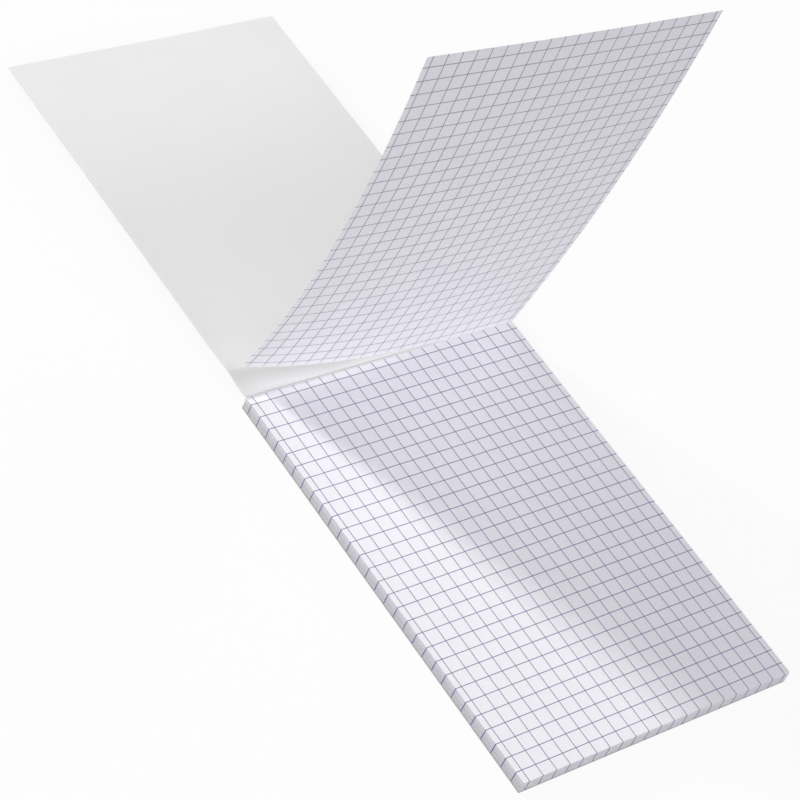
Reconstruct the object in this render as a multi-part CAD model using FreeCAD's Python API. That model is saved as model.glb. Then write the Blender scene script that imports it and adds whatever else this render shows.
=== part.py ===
# An A6 memo pad that is glued along its head edge. Its card cover is folded back and lies level
# behind the pad, and its top sheet is turned up, still glued on the right and peeled off on the left.
#
# Millimetres, +Z up. The origin is the middle of the pad's underside. +X runs along the head edge
# and +Y points past the head, where the opened cover lies.

import FreeCAD, Part
import math
import os

# Sheets and boards
page_width = 105.0
page_length = 148.0
leaf = 0.088            # thickness of one sheet of paper
leaves_lying = 49
board = 0.4             # thickness of the backing board
cover_card = 0.3        # thickness of the cover
glue_film = 0.3         # padding glue on the head face

# Clearance
hinge_gap = 0.1         # between the glue film and the cover's bound edge

# The raised sheet: the bow of its glued right edge, from upright towards the foot of the pad
lean_at_head = 9.5      # degrees
lean_at_free = 3.2      # degrees
# its free edge is turned, so that its left corner stands further back
twist_back = 3.8
twist_growth = 1.4      # power of the height that the turn grows with
# its left corner is peeled off the glue, back over the cover and up
peel_back = 9.4
peel_lift = 3.1
peel_power = 3.0        # power of the distance across that the peel grows with
peel_fade = 2.6         # power of the height that the peel dies away with
# its left edge is drawn inwards by the peel, and the sheet sways sideways at half height
draw_in_at_head = 2.9
draw_out_at_free = 0.7
sway = 1.6

# How finely the raised sheet is laid out before it is splined
sheet_columns = 10
sheet_rows = 24

pad_height = board + leaves_lying * leaf
head = page_length / 2
right = page_width / 2


def slab(length, thickness, y_low, z_low):
    """A flat piece of the pad's own width."""
    corner = FreeCAD.Vector(-right, y_low, z_low)
    return Part.makeBox(page_width, length, thickness, corner)


def page_block():
    """The sheets that still lie on the pad."""
    return slab(page_length, pad_height - board, -head, board)


def backing_board():
    return slab(page_length, board, -head, 0.0)


def head_glue():
    """The film that holds the sheets and the board together along the head."""
    return slab(glue_film, pad_height, head, 0.0)


def front_cover():
    """The cover, folded back until it lies level with the top of the pad."""
    return slab(page_length, cover_card, head + glue_film + hinge_gap, pad_height - cover_card)


def raised_column(across):
    """Points up the face of the raised sheet, from its bound edge to its free edge.

    across is 0 along the glued right edge and 1 along the peeled left edge.
    """
    step = page_length / sheet_rows
    peel = across ** peel_power
    foot = head + (glue_film - leaf) / 2
    bow = 0.0
    z = pad_height + peel_lift * peel
    points = []
    for row in range(sheet_rows + 1):
        up = row / sheet_rows
        twist = twist_back * across * up ** twist_growth
        y = foot - bow + twist + peel_back * peel * (1 - up) ** peel_fade
        draw = draw_in_at_head * (1 - up) - draw_out_at_free * up
        x = right - page_width * across + draw * across + 4 * sway * up * (1 - up) * (1 - across)
        if points:
            # each step keeps its length along the paper
            run = math.hypot(x - points[-1].x, y - points[-1].y)
            z += math.sqrt(step ** 2 - run ** 2)
        points.append(FreeCAD.Vector(x, y, z))
        middle = (row + 0.5) / sheet_rows
        lean = math.radians(lean_at_head + (lean_at_free - lean_at_head) * middle)
        bow += step * math.sin(lean)
    return points


def raised_sheet():
    """The turned-up sheet, one leaf thick behind its splined face."""
    columns = [raised_column(1 - column / sheet_columns) for column in range(sheet_columns + 1)]
    face = Part.BSplineSurface()
    face.interpolate(columns)
    return face.toShape().makeOffsetShape(-leaf, 0.0001, fill=True)


os.makedirs("parts", exist_ok=True)
for piece in (page_block, backing_board, head_glue, front_cover, raised_sheet):
    piece().exportStep(f"parts/{piece.__name__}.step")
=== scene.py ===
# %% [markdown]
# # A memo pad with squared paper, its cover folded back and its top sheet turned up
#
# The solids of this pad come from a CAD model. This lesson loads them as a fixed frame, dresses
# every solid with a mesh or a material of its own, and sets a plain studio round it. One unit is
# one metre, +Z points up, and the pad lies with the middle of its underside at the origin.

# %% Load the frame
import math
import random

import bmesh
import bpy
from mathutils import Matrix, Vector


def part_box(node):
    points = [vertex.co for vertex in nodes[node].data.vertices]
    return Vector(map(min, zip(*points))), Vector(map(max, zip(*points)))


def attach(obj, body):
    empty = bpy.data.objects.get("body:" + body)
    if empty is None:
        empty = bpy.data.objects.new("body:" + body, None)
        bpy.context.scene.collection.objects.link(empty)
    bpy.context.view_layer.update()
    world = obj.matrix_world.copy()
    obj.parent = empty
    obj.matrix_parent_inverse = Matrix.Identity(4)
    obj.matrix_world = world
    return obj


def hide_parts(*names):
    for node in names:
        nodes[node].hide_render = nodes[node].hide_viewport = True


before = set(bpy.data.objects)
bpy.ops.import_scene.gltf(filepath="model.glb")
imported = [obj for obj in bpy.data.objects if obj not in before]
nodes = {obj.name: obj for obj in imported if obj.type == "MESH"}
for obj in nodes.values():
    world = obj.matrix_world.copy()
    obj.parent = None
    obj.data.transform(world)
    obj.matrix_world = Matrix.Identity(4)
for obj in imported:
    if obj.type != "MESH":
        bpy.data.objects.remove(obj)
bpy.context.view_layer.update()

MM = 0.001

# %% [markdown]
# ## Sizes that everything else is built on
#
# A pad is cut from a stack, so its faces are shared: the block's head face carries the glue, the
# raised sheet starts there, and the cover lies beyond it. Reading these places from the frame
# keeps every piece where the CAD model has it, also after the model's own sizes change.

# %% Places read from the frame
block_low, block_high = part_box("page_block")
glue_low, glue_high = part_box("head_glue")
cover_low, cover_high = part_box("front_cover")
page_width = block_high.x - block_low.x
page_length = block_high.y - block_low.y
head, pad_top = block_high.y, block_high.z
leaf = 0.088 * MM
print(f"page {page_width / MM:.1f} x {page_length / MM:.1f} mm, pad {pad_top / MM:.2f} mm thick")

# %% [markdown]
# ## Camera
#
# The camera stands to the left of the pad's foot and looks down along it from less than a metre
# away, and it is rolled so that the pad runs across the view. A long lens keeps the far cover
# nearly as wide as the near page. Aim, angles and distance are easier to read and to change than
# a matrix, so the matrix is made from them.

# %% The camera
camera_aim = Vector((-5.0, 57.6, 4.7)) * MM
camera_azimuth, camera_elevation = math.radians(-53.02), math.radians(43.4)
camera_roll = math.radians(25.65)
camera_distance = 0.8439

def look_back(azimuth, elevation):
    """The direction from what is looked at back to the eye."""
    flat = math.cos(elevation)
    return Vector((math.sin(azimuth) * flat, -math.cos(azimuth) * flat, math.sin(elevation)))

back = look_back(camera_azimuth, camera_elevation)
camera = bpy.data.objects.new("camera", bpy.data.cameras.new("camera"))
camera.data.lens, camera.data.sensor_width = 123.97, 36.0
camera.data.clip_start, camera.data.clip_end = 0.01, 20.0
stand = Matrix.Translation(camera_aim + back * camera_distance)
upright = (-back).to_track_quat("-Z", "Y").to_matrix().to_4x4()
camera.matrix_world = stand @ upright @ Matrix.Rotation(camera_roll, 4, "Z")
bpy.context.scene.collection.objects.link(camera)
bpy.context.scene.camera = camera
print("camera at", [round(value, 4) for value in camera.matrix_world.translation])

# %% [markdown]
# ## Node trees in a few words
#
# Every material below is a tree of nodes. It could be built by hand in the shader editor, but a
# script can be read and run again. Small helpers keep its cells short: one adds any node and
# plugs its inputs, and the others are the few nodes that come back again and again.

# %% Helpers that add nodes
def add(tree, kind, settings=None, **inputs):
    """Adds a node. An input is given by its name, with _ for a space, or its number after a _.
    Its value is a number, a colour, a vector or another node's output."""
    node = tree.nodes.new(kind)
    for name, value in (settings or {}).items():
        setattr(node, name, value)
    for name, value in inputs.items():
        socket = node.inputs[int(name[1:]) if name[1:].isdigit() else name.replace("_", " ")]
        if isinstance(value, bpy.types.NodeSocket):
            tree.links.new(value, socket)
        else:
            socket.default_value = value
    return node

def calculate(tree, operation, first, second=0.0):
    return add(tree, "ShaderNodeMath", {"operation": operation}, _0=first, _1=second).outputs[0]

def map_range(tree, value, start, end, first, last, steps="LINEAR"):
    """Turns a value that goes from start to end into one that goes from first to last."""
    return add(tree, "ShaderNodeMapRange", {"interpolation_type": steps}, Value=value,
               From_Min=start, From_Max=end, To_Min=first, To_Max=last).outputs[0]

def smooth_range(tree, value, start, end, first, last):
    """The same, but it sets off and arrives gently."""
    return map_range(tree, value, start, end, first, last, "SMOOTHSTEP")

def from_noise(tree, noise, first, last):
    """Spreads a noise, which keeps mostly between 0.3 and 0.7, from first to last."""
    return map_range(tree, noise, 0.3, 0.7, first, last)

def split(tree, vector):
    """The three numbers of a vector."""
    return add(tree, "ShaderNodeSeparateXYZ", Vector=vector).outputs

helpers = (add, calculate, map_range, smooth_range, from_noise, split)
print("helpers for nodes:", ", ".join(helper.__name__ for helper in helpers))

# %% Helpers for colours and materials
def rgb(red, green, blue):
    """A colour as screens write it, from 0 to 255, as the linear numbers that nodes use."""
    def linear(value):
        value /= 255
        return value / 12.92 if value <= 0.04045 else ((value + 0.055) / 1.055) ** 2.4
    return (linear(red), linear(green), linear(blue), 1.0)

def mix_colours(tree, factor, first, second, blend="MIX"):
    return add(tree, "ShaderNodeMix", {"data_type": "RGBA", "blend_type": blend},
               _0=factor, _6=first, _7=second).outputs[2]

def new_material(name, **settings):
    """A material with its Principled shader set, its tree and that shader."""
    material = bpy.data.materials.new(name)
    material.use_nodes = True
    shader = material.node_tree.nodes["Principled BSDF"]
    for socket, value in settings.items():
        shader.inputs[socket.replace("_", " ")].default_value = value
    return material, material.node_tree, shader

def add_bump(tree, shader, height, strength, depth):
    bump = add(tree, "ShaderNodeBump", Strength=strength, Distance=depth, Height=height)
    tree.links.new(bump.outputs[0], shader.inputs["Normal"])

print("a screen's 128 is, as a linear number,", round(rgb(128, 128, 128)[0], 3))

# %% [markdown]
# ## The ruling
#
# The paper is ruled in squares of 5 mm with thin blue-violet lines. The lines could be an image,
# but two distances say it all: how far a point is from the nearest line one way and the other.
# The Ping-Pong maths does just that. It runs to and fro between 0 on a line and half a square
# between two. The sheets on the pad and the raised one use the same ruling, so it is one group.

# %% The ruling as a node group
ruling_pitch = 5.04 * MM
side_margin = 2.1 * MM
head_margin = 2.92 * MM
line_width = 0.24 * MM
line_on_cut = 0.34 * MM
line_soft = 0.03 * MM

def float_socket(group, name, direction, value=0.0):
    socket = group.interface.new_socket(name=name, in_out=direction, socket_type="NodeSocketFloat")
    if direction == "INPUT":
        socket.default_value = value

def build_ruling():
    group = bpy.data.node_groups.new("ruling", "ShaderNodeTree")
    for name in ("Across", "Along", "Line Width"):
        float_socket(group, name, "INPUT")
    float_socket(group, "Ink", "OUTPUT")
    entry, leave = group.nodes.new("NodeGroupInput"), group.nodes.new("NodeGroupOutput")
    half = calculate(group, "MULTIPLY", entry.outputs["Line Width"], 0.5)
    inside = calculate(group, "SUBTRACT", half, line_soft)
    outside = calculate(group, "ADD", half, line_soft)
    masks = []
    for name in ("Across", "Along"):
        distance = calculate(group, "PINGPONG", entry.outputs[name], ruling_pitch / 2)
        masks.append(smooth_range(group, distance, inside, outside, 1.0, 0.0))
    group.links.new(calculate(group, "MAXIMUM", *masks), leave.inputs["Ink"])
    return group

ruling = build_ruling()
print("ruling:", len(ruling.nodes), "nodes, a line every", round(ruling_pitch / MM, 2), "mm")

# %% [markdown]
# ## The paper's fibre
#
# Writing paper looks smooth, but close up it is a felt of fibres: slightly cloudy, with a fine
# tooth that scatters the light. Two noises do it, a fine one for the tooth and a broad one for
# the cloudiness. Paper, card and board all have it at their own scale, so it is a group too.

# %% The fibre as a node group
def build_fibre():
    group = bpy.data.node_groups.new("fibre", "ShaderNodeTree")
    group.interface.new_socket(name="Place", in_out="INPUT", socket_type="NodeSocketVector")
    float_socket(group, "Grain Size", "INPUT", 0.3 * MM)
    float_socket(group, "Cloud Size", "INPUT", 12 * MM)
    for name in ("Grain", "Cloud"):
        float_socket(group, name, "OUTPUT")
    entry, leave = group.nodes.new("NodeGroupInput"), group.nodes.new("NodeGroupOutput")
    for name in ("Grain", "Cloud"):
        scale = calculate(group, "DIVIDE", 1.0, entry.outputs[name + " Size"])
        noise = add(group, "ShaderNodeTexNoise", Vector=entry.outputs["Place"], Scale=scale,
                    Detail=3.0, Roughness=0.6)
        group.links.new(noise.outputs[0], leave.inputs[name])
    return group

fibre = build_fibre()

def add_fibre(tree, place, grain_size, cloud_size):
    """The grain and the cloudiness of a paper, each about 0.3 to 0.7."""
    felt = add(tree, "ShaderNodeGroup", {"node_tree": fibre}, Place=place, Grain_Size=grain_size,
               Cloud_Size=cloud_size)
    return felt.outputs["Grain"], felt.outputs["Cloud"]

print("fibre:", len(fibre.nodes), "nodes")

# %% [markdown]
# ## Where a point is, and which way it faces
#
# A finish has to stay on its piece when the piece moves, so it is laid out in the object's own
# axes and not in the world's. Cut faces differ from flat ones on all paper and board. They could
# get a material of their own, but the upright part of the normal tells them apart without a seam.

# %% Places, normals and the mask of the cut sides
def object_place(tree):
    return add(tree, "ShaderNodeTexCoord").outputs["Object"]

def object_normal(tree):
    return add(tree, "ShaderNodeTexCoord").outputs["Normal"]

def build_cut_sides():
    group = bpy.data.node_groups.new("cut_sides", "ShaderNodeTree")
    float_socket(group, "Cut", "OUTPUT")
    upward = calculate(group, "ABSOLUTE", split(group, object_normal(group))[2])
    cut = map_range(group, upward, 0.5, 0.6, 1.0, 0.0)
    group.links.new(cut, group.nodes.new("NodeGroupOutput").inputs["Cut"])
    return group

cut_sides = build_cut_sides()

def cut_edge(tree):
    """1 on upright faces, such as the cut sides of a stack, and 0 on level ones."""
    return add(tree, "ShaderNodeGroup", {"node_tree": cut_sides}).outputs["Cut"]

print("cut sides:", len(cut_sides.nodes), "nodes")

# %% [markdown]
# ## Squared paper
#
# The sheets are bright white with the faint lavender cast of a whitened paper. The colour tree
# goes in steps: the paper's own white, a little cloudiness, and the lines over it, whose ink is
# a touch uneven along their length. The block and the raised sheet differ in their whites and
# their ink, so the parts of the tree that differ are functions, which the recipe calls.

# %% The paper's recipe, for the block and for the raised sheet
paper_grain, paper_cloud = 0.25 * MM, 9 * MM
cloud_shade, cloud_share = (0.9, 0.9, 0.9, 1.0), 0.12
palest_ink = 0.86
paper_tooth, tooth_depth = 0.12, 0.02 * MM
# whole squares that are added to a place, so that it is counted from a line and never negative
squares_ahead = 20 * ruling_pitch

def squared_paper(name, place, offsets, white, ink, ink_share, width, see_through=0.0):
    """place, white, ink_share and width are functions that build their part of the tree."""
    material, tree, shader = new_material(name, Roughness=0.62)
    spot = place(tree)
    across, along = (calculate(tree, "ADD", part, offset)
                     for part, offset in zip(split(tree, spot), offsets))
    squares = add(tree, "ShaderNodeGroup", {"node_tree": ruling}, Across=across, Along=along,
                  Line_Width=width(tree)).outputs["Ink"]
    grain, cloud = add_fibre(tree, spot, paper_grain, paper_cloud)
    cloudy = from_noise(tree, cloud, 0.0, cloud_share)
    paper = mix_colours(tree, cloudy, white(tree), cloud_shade, "MULTIPLY")
    inked = calculate(tree, "MULTIPLY", squares, from_noise(tree, grain, 1.0, palest_ink))
    inked = calculate(tree, "MULTIPLY", inked, ink_share(tree))
    colour = mix_colours(tree, inked, paper, ink)
    tree.links.new(colour, shader.inputs["Base Color"])
    add_bump(tree, shader, grain, strength=paper_tooth, depth=tooth_depth)
    if see_through:
        glow = add(tree, "ShaderNodeBsdfTranslucent", Color=colour).outputs[0]
        thin = add(tree, "ShaderNodeMixShader", _0=see_through, _1=shader.outputs[0], _2=glow)
        tree.links.new(thin.outputs[0], tree.nodes["Material Output"].inputs["Surface"])
    print(f"{name}: {len(tree.nodes)} nodes")
    return material

print("the page takes", int((page_width - side_margin) / ruling_pitch) + 1, "lines across")

# %% [markdown]
# ## The white of the block
#
# No pad is one even white, and some of the whites here are painted light. The strip above the
# first line is a trace whiter, a painted highlight, and low on the right the paper is a trace
# greyer with painted shade. Of the cut sides, the foot's is nearly as white as the face and the
# long ones are darker, and all of them darken towards the board: painted shade. The ends of the
# printed lines look a little broader there than on the face. The sides are shaded in bands as
# high as a sheet, each by a draw from its number up the stack, which a white noise gives for the
# price of one node.

# %% The block's own paper
# the head strip's whiter white is a painted highlight, and the greyer white low on the right is
# painted shade
paper_white, head_strip_highlight, lower_right_shade = rgb(249, 248, 254), rgb(251, 250, 254), rgb(243, 242, 249)
# the long sides are darker than the foot's and all sides darken towards the board: painted shade
side_near_top, side_near_board = rgb(199, 197, 206), rgb(176, 174, 182)
foot_near_top, foot_near_board = rgb(252, 250, 255), rgb(243, 241, 249)
face_ink = rgb(62, 40, 132)
darkest_edge = 0.93
first_line, highlight_border = head - head_margin, 0.1 * MM
# where the face's painted shade low on the right sets in, across and along
shade_across, shade_along = (0.0, 30 * MM), (-40 * MM, 60 * MM)

def side_white(tree, height):
    """The greys of the cut sides, with painted shade towards the board and on the long sides, in
    bands as high as a sheet.
    """
    # climb darkens the sides towards the board and sideways picks the darker long sides: both
    # painted shade
    climb = map_range(tree, height, block_low.z, block_high.z, 0.0, 1.0)
    foot_side = mix_colours(tree, climb, foot_near_board, foot_near_top)
    long_side = mix_colours(tree, climb, side_near_board, side_near_top)
    sideways = calculate(tree, "ABSOLUTE", split(tree, object_normal(tree))[0])
    side = mix_colours(tree, sideways, foot_side, long_side)
    number = calculate(tree, "FLOOR", calculate(tree, "MULTIPLY", height, 1 / leaf))
    draw = add(tree, "ShaderNodeTexWhiteNoise", {"noise_dimensions": "1D"}, W=number)
    shade = map_range(tree, draw.outputs["Value"], 0.0, 1.0, darkest_edge, 1.0)
    return mix_colours(tree, 1.0, side, shade, "MULTIPLY")

def block_white(tree):
    """The face's white, its painted highlight at the head and its painted shade low on the right,
    and the sides.
    """
    across, along, height = split(tree, object_place(tree))
    # a painted highlight on the strip between the first line and the head
    head_highlight = map_range(tree, along, first_line - highlight_border, first_line + highlight_border, 0.0, 1.0)
    # painted shade low on the right of the face
    shaded_lower_right = calculate(tree, "MULTIPLY", smooth_range(tree, across, *shade_across, 0.0, 1.0),
                       smooth_range(tree, along, *shade_along, 1.0, 0.0))
    face = mix_colours(tree, head_highlight, paper_white, head_strip_highlight)
    face = mix_colours(tree, shaded_lower_right, face, lower_right_shade)
    return mix_colours(tree, cut_edge(tree), face, side_white(tree, height))

block_paper = squared_paper(
    "block_paper", object_place,
    (page_width / 2 - side_margin + squares_ahead, 2 * squares_ahead - first_line),
    block_white, face_ink, lambda tree: 1.0,
    lambda tree: map_range(tree, cut_edge(tree), 0.0, 1.0, line_width, line_on_cut))

# %% [markdown]
# ## The block of sheets
#
# Forty-nine sheets lie on the backing board. In the CAD model they are one solid, and from far
# away that is enough, but the sides of a real block show the sheets, because a guillotine never
# leaves them quite even. So each sheet is a thin closed slab here, drawn back from the CAD faces
# by up to a tenth of a millimetre, by a seeded draw, and never proud of them. The glue pinches
# the sheets together at the head, and turning the leaves over has creased them along the first
# printed line, so the last strip of each sheet slopes a little down to the glue. At the foot's
# right corner, where a thumb turns the leaves, the uppermost sheets are worn back a little.

# %% Helpers that make a piece
sharp_angle = math.radians(50)

def lofted(sections):
    """Points and faces of a closed solid that runs through rings of points."""
    around = len(sections[0])
    solid_points = [point for ring in sections for point in ring]
    last_ring = len(solid_points) - around
    solid_faces = [tuple(reversed(range(around))), tuple(range(last_ring, len(solid_points)))]
    for start in range(0, last_ring, around):
        for corner in range(around):
            here, there = start + corner, start + (corner + 1) % around
            solid_faces.append((here, there, there + around, here + around))
    return solid_points, solid_faces

def new_piece(name, points, faces, material, body, slot, *cad_nodes):
    """A mesh whose faces look outwards, in place of CAD nodes."""
    mesh = bpy.data.meshes.new(name)
    mesh.from_pydata([tuple(point) for point in points], [], faces)
    solid = bmesh.new()
    solid.from_mesh(mesh)
    if solid.calc_volume(signed=True) < 0:
        mesh.flip_normals()
    solid.free()
    mesh.materials.append(material)
    piece = bpy.data.objects.new(name, mesh)
    bpy.context.scene.collection.objects.link(piece)
    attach(piece, body)
    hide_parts(*cad_nodes)
    print(f"{name}: {len(mesh.polygons)} faces on {body}, for {', '.join(cad_nodes)}")
    return piece

def smooth(piece):
    """Shades a curved piece smooth and keeps its rims sharp."""
    piece.data.shade_smooth()
    piece.data.set_sharp_from_angle(angle=sharp_angle)

print("edges stay sharp from", round(math.degrees(sharp_angle)), "degrees on")

# %% The sheets of the block
random.seed(7)
sheet_count = round((block_high.z - block_low.z) / leaf)
air = 0.003 * MM
uneven_cut, stray_share = 0.05 * MM, 0.15
head_pinch = 0.28 * MM
corner_wear, first_worn = 0.4 * MM, 0.7

def block_sheet(number):
    """Points and faces of one sheet, which is level up to the first line and slopes beyond it."""
    stacked = number / sheet_count
    left, right, foot = (random.uniform(0.0, uneven_cut) for side in range(3))
    if random.random() < stray_share:
        left += uneven_cut
    low_x, high_x, foot_y = block_low.x + left, block_high.x - right, block_low.y + foot
    bottom = block_low.z + number * leaf
    top = bottom + leaf - (air if number < sheet_count - 1 else 0.0)
    pinch = head_pinch * stacked ** 2
    worn = corner_wear * max((stacked - first_worn) / (1 - first_worn), 0.0) ** 2
    rings = [[(low_x, left_y, bottom - down), (high_x, right_y, bottom - down),
              (high_x, right_y, top - down), (low_x, left_y, top - down)]
             for left_y, right_y, down in ((head, head, pinch), (first_line, first_line, 0.0),
                                           (foot_y, foot_y + worn, 0.0))]
    return lofted(rings)

points, faces = [], []
for number in range(sheet_count):
    sheet_points, sheet_faces = block_sheet(number)
    faces += [tuple(index + len(points) for index in face) for face in sheet_faces]
    points += sheet_points
new_piece("sheets_of_block", points, faces, block_paper, "pad", "pad_paper", "page_block")

# %% [markdown]
# ## The raised sheet
#
# The top sheet is still glued at the right of the head. It stands up, bows towards the foot, and
# its left corner has peeled off. Cloth simulation would give some such shape, but paper doesn't
# stretch, and the shape has to be this one. So it is built column by column, each a line up the
# paper: every step of a column keeps its length, which is what makes it look like paper.

# %% The raised sheet's curve
lean_at_head, lean_at_free = 9.5, 3.2  # degrees from upright
twist_back, twist_growth = 3.8 * MM, 1.4
peel_back, peel_lift, peel_power, peel_fade = 9.4 * MM, 3.1 * MM, 3.0, 2.6
draw_in_at_head, draw_out_at_free, sway = 2.9 * MM, 0.7 * MM, 1.6 * MM
columns, rows = 42, 72

def raised_column(across):
    """Points up the paper. across is 0 on the glued right edge and 1 on the peeled left one."""
    step = page_length / rows
    peel = across ** peel_power
    sheet_foot = head + (glue_high.y - head - leaf) / 2
    bow = 0.0
    height = pad_top + peel_lift * peel
    line = []
    for row in range(rows + 1):
        up = row / rows
        twist = twist_back * across * up ** twist_growth
        y = sheet_foot - bow + twist + peel_back * peel * (1 - up) ** peel_fade
        draw = draw_in_at_head * (1 - up) - draw_out_at_free * up
        x = block_high.x - page_width * across + draw * across
        x += 4 * sway * up * (1 - up) * (1 - across)
        if line:
            run = math.hypot(x - line[-1].x, y - line[-1].y)
            height += math.sqrt(step ** 2 - run ** 2)
        line.append(Vector((x, y, height)))
        lean = math.radians(lean_at_head + (lean_at_free - lean_at_head) * (row + 0.5) / rows)
        bow += step * math.sin(lean)
    return line

near_side = [raised_column(1 - column / columns) for column in range(columns + 1)]
print("raised sheet's free edge in mm:", [round(value / MM, 1) for value in near_side[0][-1]])

# %% The raised sheet as a thin closed solid
def surface_normal(grid, column, row):
    along = grid[column][min(row + 1, rows)] - grid[column][max(row - 1, 0)]
    side = grid[min(column + 1, columns)][row] - grid[max(column - 1, 0)][row]
    return along.cross(side).normalized()

def thin_solid(front, rear):
    """Points and faces of a sheet between two grids of points, closed round its rim."""
    wide, high = len(front), len(front[0])
    vertices = [point for grid in (front, rear) for line in grid for point in line]
    shift = wide * high
    quads = []
    for a in range(wide - 1):
        for b in range(high - 1):
            corner = a * high + b
            quad = (corner, corner + high, corner + high + 1, corner + 1)
            quads += [quad, tuple(index + shift for index in reversed(quad))]
    rim = [a * high for a in range(wide)] + [(wide - 1) * high + b for b in range(1, high)]
    rim += [a * high + high - 1 for a in range(wide - 2, -1, -1)] + list(range(high - 2, 0, -1))
    for here, there in zip(rim, rim[1:] + rim[:1]):
        quads.append((there, here, here + shift, there + shift))
    return vertices, quads

far_side = [[point - surface_normal(near_side, column, row) * leaf
             for row, point in enumerate(line)] for column, line in enumerate(near_side)]
points, faces = thin_solid(near_side, far_side)
print("raised sheet:", len(points), "points and", len(faces), "faces")

# %% [markdown]
# ## The raised sheet's paper
#
# Print bends with its paper, so it can't be laid out by height. The mesh has a UV map instead,
# which keeps each point's place on the flat sheet in metres. One sheet is thin enough for light
# to come through: a translucent shader, mixed in by about half, passes it on. The light
# pales the print too, most of all near the glue. The side that shows is the reverse of the
# sheet, and its ink is a little greyer than that of the face.

# %% The raised sheet's own paper, and its piece
# the sheet grades from a painted light at the glue to painted shade at its free end
sheet_white, sheet_free_end_shade = rgb(243.5, 243, 247.5), rgb(236, 235.5, 240.5)
reverse_ink = rgb(50, 46, 86)
sheet_see_through = 0.52
glue_glare, glare_reach = 0.4, 2.5 * MM
ink_at_glue, ink_at_free = 0.7, 0.74

def flat_map(mesh, wide, high, width, length):
    """Writes each vertex's place on the flat sheet, from its bound left corner, as a UV map."""
    flat = mesh.uv_layers.new(name="flat_sheet")
    shift = wide * high
    for loop in mesh.loops:
        a, b = divmod(loop.vertex_index % shift, high)
        flat.data[loop.index].uv = (a / (wide - 1) * width, b / (high - 1) * length)

def flat_place(tree):
    return add(tree, "ShaderNodeUVMap", {"uv_map": "flat_sheet"}).outputs[0]

def raised_white(tree):
    """A painted light makes the sheet a trace whiter at the glue, and painted shade a trace greyer
    at its free end.
    """
    up = map_range(tree, split(tree, flat_place(tree))[1], 0.0, page_length, 0.0, 1.0)
    return mix_colours(tree, up, sheet_white, sheet_free_end_shade)

def sheet_ink_share(tree):
    up = split(tree, flat_place(tree))[1]
    return calculate(tree, "MULTIPLY", map_range(tree, up, 0.0, glare_reach, glue_glare, 1.0),
                     map_range(tree, up, 0.0, page_length, ink_at_glue, ink_at_free))

sheet_paper = squared_paper(
    "raised_paper", flat_place, (squares_ahead - side_margin, squares_ahead - head_margin),
    raised_white, reverse_ink, sheet_ink_share, lambda tree: line_width, sheet_see_through)
raised = new_piece("raised_sheet_of_paper", points, faces, sheet_paper, "pad", "sheet_paper",
                   "raised_sheet")
flat_map(raised.data, columns + 1, rows + 1, page_width, page_length)
smooth(raised)

# %% [markdown]
# ## The card cover
#
# The cover is a thin white card, folded right back so that its inside is up. A card that has been
# bent over a pad keeps a mark of it: here a soft slanted ridge runs from the cover's left edge to
# the middle of the head. It is only some tenths of a millimetre high, but the light is low, and
# it shows. A flat CAD plate can't have it, so the cover is a fine grid whose height is a function
# of the place, with the card's thickness added below. Its right edge has curled up a little too.

# %% The cover's surface
ridge_start = Vector((cover_low.x, head + 8.3 * MM))
ridge_end = Vector((-8 * MM, head + 0.4 * MM))
ridge_dip, ridge_rise, ridge_front, ridge_rear = 0.08 * MM, 0.54 * MM, 7 * MM, 12 * MM
bound_strip, ridge_fade = 2.5 * MM, (-22 * MM, -6 * MM)
edge_curl, curl_along = 0.6 * MM, (head + 22 * MM, head + 75 * MM)

def ease(value, start, end):
    """0 before start, 1 after end, and smooth between them."""
    share = min(max((value - start) / (end - start), 0.0), 1.0)
    return share * share * (3 - 2 * share)

def cover_height(x, y):
    slope = (ridge_end.y - ridge_start.y) / (ridge_end.x - ridge_start.x)
    ridge = ridge_start.y + slope * (x - ridge_start.x)
    before, after = -ridge_front / 2, ridge_front / 2
    shape = ridge_rise * ease(y - ridge, before, after) - ridge_dip
    shape -= (ridge_rise - ridge_dip) * ease(y - ridge, after, after + ridge_rear)
    fade = ease(y, cover_low.y, cover_low.y + bound_strip) * (1 - ease(x, *ridge_fade))
    curl = edge_curl * ease(x, 0.0, cover_high.x) * ease(y, *curl_along)
    return cover_high.z + shape * fade + curl

left_of_ridge = cover_height(cover_low.x, ridge_start.y + ridge_front / 2)
print(f"the ridge at the cover's left edge is {left_of_ridge / MM:.2f} mm above the table")

# %% The cover's grid
cover_columns, cover_rows, row_spread = 64, 190, 1.5
card = cover_high.z - cover_low.z
cover_width, cover_length = cover_high.x - cover_low.x, cover_high.y - cover_low.y
across_steps = [cover_low.x + cover_width * column / cover_columns
                for column in range(cover_columns + 1)]
# rows lie closer together near the head, where the ridge is
along_steps = [cover_low.y + cover_length * (row / cover_rows) ** row_spread
               for row in range(cover_rows + 1)]
cover_grid = [[Vector((x, y, cover_height(x, y))) for y in along_steps] for x in across_steps]
under = [[point - Vector((0.0, 0.0, card)) for point in line] for line in cover_grid]
highest = max(point.z for line in cover_grid for point in line)
print(f"cover: {card / MM:.2f} mm card, highest point {highest / MM:.2f} mm above the table")

# %% [markdown]
# ## The card's finish
#
# The inside of such a cover is plain uncoated card: matt, faintly cloudy and with a fine tooth.
# Its near half is a trace darker than its far end: painted shade.
# The outside is coated and smoother. Both are on one piece, so a mask from the normal chooses
# between them. The card's cut edges are a little darker, as on all board.

# %% The cover's material and piece
cover_white, cover_cloud, cover_edge = rgb(244, 244, 244), rgb(240, 240, 240), rgb(216, 216, 215)
# the near half's darker tone is painted shade
cover_near_shade, near_shade_along = rgb(231, 231, 231), (head + 60 * MM, head + 140 * MM)
cloud_most = 0.4
coated_rough, uncoated_rough, rough_spread = 0.34, 0.52, 0.03
coated_tooth, uncoated_tooth = 0.3, 1.0

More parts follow.
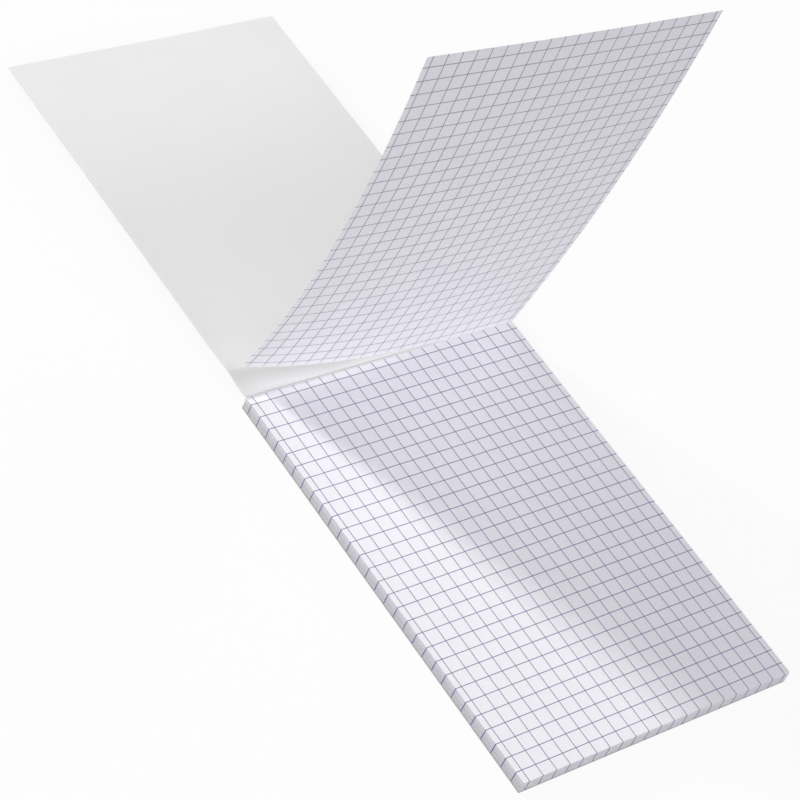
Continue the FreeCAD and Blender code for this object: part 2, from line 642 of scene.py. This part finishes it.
def card_material():
    material, tree, shader = new_material("cover_card")
    place = object_place(tree)
    grain, cloud = add_fibre(tree, place, grain_size=0.4 * MM, cloud_size=25 * MM)
    colour = mix_colours(tree, from_noise(tree, cloud, 0.0, cloud_most), cover_white, cover_cloud)
    # painted shade over the cover's near half, fading out towards its far end
    near_shade = smooth_range(tree, split(tree, place)[1], *near_shade_along, 1.0, 0.0)
    colour = mix_colours(tree, near_shade, colour, cover_near_shade)
    colour = mix_colours(tree, cut_edge(tree), colour, cover_edge)
    tree.links.new(colour, shader.inputs["Base Color"])
    inside = map_range(tree, split(tree, object_normal(tree))[2], -0.6, 0.6, 0.0, 1.0)
    finish = calculate(tree, "ADD", map_range(tree, inside, 0.0, 1.0, coated_rough, uncoated_rough),
                       from_noise(tree, grain, -rough_spread, rough_spread))
    tree.links.new(finish, shader.inputs["Roughness"])
    tooth = map_range(tree, inside, 0.0, 1.0, coated_tooth, uncoated_tooth)
    height = calculate(tree, "MULTIPLY", grain, tooth)
    add_bump(tree, shader, height, strength=0.1, depth=tooth_depth)
    return material

points, faces = thin_solid(cover_grid, under)
cover = new_piece("card_cover", points, faces, card_material(), "cover", "cover_card",
                  "front_cover")
smooth(cover)

# %% [markdown]
# ## The padding glue
#
# The head of a pad is painted with a rubbery white glue that holds the sheets and lets them be
# torn off. It is brushed on along the head, so it has fine streaks that way, is thinner towards
# its borders, and has a satin shine. The streaks are in the mesh: rows of the film lie at depths
# drawn by chance, and each row wavers along its length, always inside the film's CAD thickness.
# Where the raised sheet has peeled off, the film slopes down to the pinched paper.

# %% The glue film's surface
glue_columns, glue_rows = 150, 26
streak_depth, edge_thinning = 0.07 * MM, 0.12 * MM
steady, wavering = 0.55, 0.45
peeled_until, glued_from = 0.4, 0.6
random.seed(21)
streaks = [(random.random(), random.uniform(0.0, math.tau), random.uniform(2.0, 5.0))
           for row in range(glue_rows + 1)]

def film_depth(along, row):
    """How far the film's surface lies inside its CAD face."""
    level, phase, waves = streaks[row]
    wave = 0.5 + 0.5 * math.sin(phase + waves * math.tau * along)
    up = row / glue_rows
    foot_border, top_border = 1 - ease(up, 0.0, 0.12), 0.4 * ease(up, 0.9, 1.0)
    left_border, right_border = 1 - ease(along, 0.0, 0.01), ease(along, 0.99, 1.0)
    thin = max(foot_border, top_border, left_border, right_border)
    return streak_depth * level * (steady + wavering * wave) + edge_thinning * thin

film_back, film_front = [], []
shares = [row / glue_rows for row in range(glue_rows + 1)]
tall = glue_high.z - glue_low.z
for column in range(glue_columns + 1):
    along = column / glue_columns
    x = glue_low.x + (glue_high.x - glue_low.x) * along
    short = tall - head_pinch * (1 - ease(along, peeled_until, glued_from))
    film_back.append([Vector((x, glue_high.y - film_depth(along, row), glue_low.z + tall * share))
                      for row, share in enumerate(shares)])
    film_front.append([Vector((x, glue_low.y, glue_low.z + short * share)) for share in shares])
print(f"glue: {len(streaks)} streaks, at most {(streak_depth + edge_thinning) / MM:.2f} mm deep")

# %% The glue's material and piece
glue_dull, glue_bright = rgb(234, 234, 236), rgb(244, 244, 246)
satin_low, satin_high = 0.28, 0.42

def glue_material():
    material, tree, shader = new_material("padding_glue", IOR=1.47)
    grain, cloud = add_fibre(tree, object_place(tree), grain_size=0.9 * MM, cloud_size=7 * MM)
    tree.links.new(mix_colours(tree, cloud, glue_dull, glue_bright), shader.inputs["Base Color"])
    satin = from_noise(tree, grain, satin_low, satin_high)
    tree.links.new(satin, shader.inputs["Roughness"])
    add_bump(tree, shader, grain, strength=0.3, depth=0.05 * MM)
    return material

points, faces = thin_solid(film_back, film_front)
film = new_piece("brushed_glue", points, faces, glue_material(), "pad", "padding_glue",
                 "head_glue")
smooth(film)

# %% [markdown]
# ## The backing board
#
# A pad stands on greyboard, made from waste paper: grey, matt, and full of small fibres of all
# shades. Its flat CAD shape is right, so the solid stays and only gets a better material. Two
# noises stretched different ways give the flecks on the flat, and on the cut edges a noise
# squeezed in height shows the plies that the board is pressed from.

# %% The board's material
board_grey, board_light = rgb(170, 168, 165), rgb(196, 194, 191)
fleck_dark, fleck_bright = rgb(120, 118, 116), rgb(222, 221, 218)

def stretched_noise(tree, stretch, size):
    place = add(tree, "ShaderNodeMapping", Vector=object_place(tree), Scale=stretch)
    noise = add(tree, "ShaderNodeTexNoise", Vector=place.outputs[0], Scale=1 / size, Detail=2.0)
    return noise.outputs[0]

def board_material():
    material, tree, shader = new_material("back_board", Roughness=0.85)
    grain, cloud = add_fibre(tree, object_place(tree), grain_size=0.5 * MM, cloud_size=10 * MM)
    colour = mix_colours(tree, cloud, board_grey, board_light)
    lengthways = stretched_noise(tree, (1.0, 0.35, 1.0), 0.7 * MM)
    dark = map_range(tree, lengthways, 0.62, 0.7, 0.0, 0.55)
    colour = mix_colours(tree, dark, colour, fleck_dark)
    crossways = stretched_noise(tree, (0.35, 1.0, 1.0), 0.6 * MM)
    bright = map_range(tree, crossways, 0.63, 0.7, 0.0, 0.6)
    colour = mix_colours(tree, bright, colour, fleck_bright)
    plies = stretched_noise(tree, (0.05, 0.05, 1.0), 0.06 * MM)
    plies = calculate(tree, "MULTIPLY", map_range(tree, plies, 0.4, 0.6, 0.0, 0.5), cut_edge(tree))
    tree.links.new(mix_colours(tree, plies, colour, fleck_dark), shader.inputs["Base Color"])
    add_bump(tree, shader, grain, strength=0.4, depth=0.05 * MM)
    return material

board_slots = nodes["backing_board"].data.materials
board_slots.clear()
board_slots.append(board_material())
print("board:", [material.name for material in board_slots])

# %% [markdown]
# ## The floor
#
# A product on a white ground is often shown by turning the lamps up until the ground burns out,
# which burns out white paper too. Here the floor is told to look white instead: to a ray that
# comes straight from the camera, from a gloss or through a sheet, most of it glows at strength
# 1, and the rest is a pale diffuse floor that still takes the pad's soft shadow. To all other
# rays it is a mid grey, so it throws only a little light back up at the paper.

# %% The floor
floor_reach, floor_drop, floor_glow = 3.0, 0.02 * MM, 0.9
floor_seen, floor_unseen = rgb(250, 250, 250), rgb(150, 150, 150)
plain_white = (1.0, 1.0, 1.0, 1.0)

def seen_directly(tree):
    """1 for rays from the camera, from a gloss or through a sheet, and 0 for scattered ones."""
    path = add(tree, "ShaderNodeLightPath").outputs
    sharp = calculate(tree, "MAXIMUM", path["Is Camera Ray"], path["Is Glossy Ray"])
    sharp = calculate(tree, "MAXIMUM", sharp, path["Is Transmission Ray"])
    # light scattered through a sheet is both transmitted and diffuse, and isn't seen directly
    return add(tree, "ShaderNodeMath", {"operation": "SUBTRACT", "use_clamp": True}, _0=sharp,
               _1=path["Is Diffuse Ray"]).outputs[0]

floor_mesh = bpy.data.meshes.new("floor")
corners = [(-floor_reach, -floor_reach, 0.0), (floor_reach, -floor_reach, 0.0),
           (floor_reach, floor_reach, 0.0), (-floor_reach, floor_reach, 0.0)]
floor_mesh.from_pydata(corners, [], [(0, 1, 2, 3)])
floor = bpy.data.objects.new("floor", floor_mesh)
floor.location.z = -floor_drop
bpy.context.scene.collection.objects.link(floor)

def floor_material():
    material, tree, shader = new_material("studio_floor", Roughness=0.9, Specular_IOR_Level=0.0)
    seen = seen_directly(tree)
    colour = mix_colours(tree, seen, floor_unseen, floor_seen)
    tree.links.new(colour, shader.inputs["Base Color"])
    glow = add(tree, "ShaderNodeEmission", Color=plain_white, Strength=1.0)
    mix = add(tree, "ShaderNodeMixShader", _0=calculate(tree, "MULTIPLY", seen, floor_glow),
              _1=shader.outputs[0], _2=glow.outputs[0])
    tree.links.new(mix.outputs[0], tree.nodes["Material Output"].inputs["Surface"])
    return material

floor_mesh.materials.append(floor_material())
print("floor:", 2 * floor_reach, "m wide,", floor_drop / MM, "mm under the pad")

# %% [markdown]
# ## The world
#
# The world is the light that comes from everywhere. It is weak here, just enough that no shadow
# goes black, and it is seen directly as plain white, so the ground goes on beyond the floor.

# %% The world
world_colour, world_strength = (0.98, 0.98, 1.0, 1.0), 0.15
world = bpy.data.worlds.new("studio")
bpy.context.scene.world = world
world.use_nodes = True
sky_tree = world.node_tree
sky = sky_tree.nodes["Background"]
sky.inputs["Color"].default_value = world_colour
sky.inputs["Strength"].default_value = world_strength
beyond = add(sky_tree, "ShaderNodeBackground", Color=plain_white, Strength=1.0)
choice = add(sky_tree, "ShaderNodeMixShader", _0=seen_directly(sky_tree), _1=sky.outputs[0],
             _2=beyond.outputs[0])
sky_tree.links.new(choice.outputs[0], sky_tree.nodes["World Output"].inputs["Surface"])
print("world strength", world_strength)

# %% [markdown]
# ## The lamps
#
# Five softboxes, which are area lamps. The key is small and low and stands behind on the left,
# so the raised sheet throws a long shadow over the page and leaves a bright wedge beside it. Its
# size sets how soft the wedge's border is. The others are wide and cool and only fill: a large
# one on the left for the cut side, one in front for the raised sheet's print, one on the right
# for the far cut side, and a ceiling for all that lies flat. A lamp's energy grows with its
# area, so the helper takes a brightness for its face instead: then a lamp can be made wider for
# a softer shadow without being set anew for its glare. Together they light a level white page
# to about the white that it is written as.

# %% The lamps
def softbox(name, azimuth, elevation, distance, width, height, brightness, colour):
    """A lamp with an even face, aimed at the pad. Its angles are in degrees, as the camera's."""
    lamp = bpy.data.lights.new(name, "AREA")
    lamp.shape, lamp.size, lamp.size_y, lamp.color = "RECTANGLE", width, height, colour
    lamp.energy = brightness * math.pi * width * height
    direction = look_back(math.radians(azimuth), math.radians(elevation))
    light = bpy.data.objects.new(name, lamp)
    light.location = Vector((0.0, 0.0, pad_top)) + direction * distance
    light.rotation_mode = "QUATERNION"
    light.rotation_quaternion = direction.to_track_quat("Z", "Y")
    bpy.context.scene.collection.objects.link(light)
    print(f"{name}: {lamp.energy:.1f} W over {width * height:.2f} square metres")

cool, warm = (0.98, 0.975, 1.0), (1.0, 0.99, 0.94)
# name, azimuth, elevation, distance, width, height, brightness and colour
softbox("key", -157.1, 12.8, 2.4, 0.34, 0.66, 97.0, warm)
softbox("fill_left", -60, 19, 2.2, 3.0, 1.3, 2.08, cool)
softbox("fill_front", 16, 24, 2.2, 2.8, 1.4, 0.59, cool)
softbox("fill_right", 94, 14, 2.2, 1.6, 0.9, 4.3, cool)
softbox("ceiling", 0, 80, 2.2, 2.0, 2.0, 0.94, cool)

bpy.context.scene.view_settings.view_transform = "Standard"
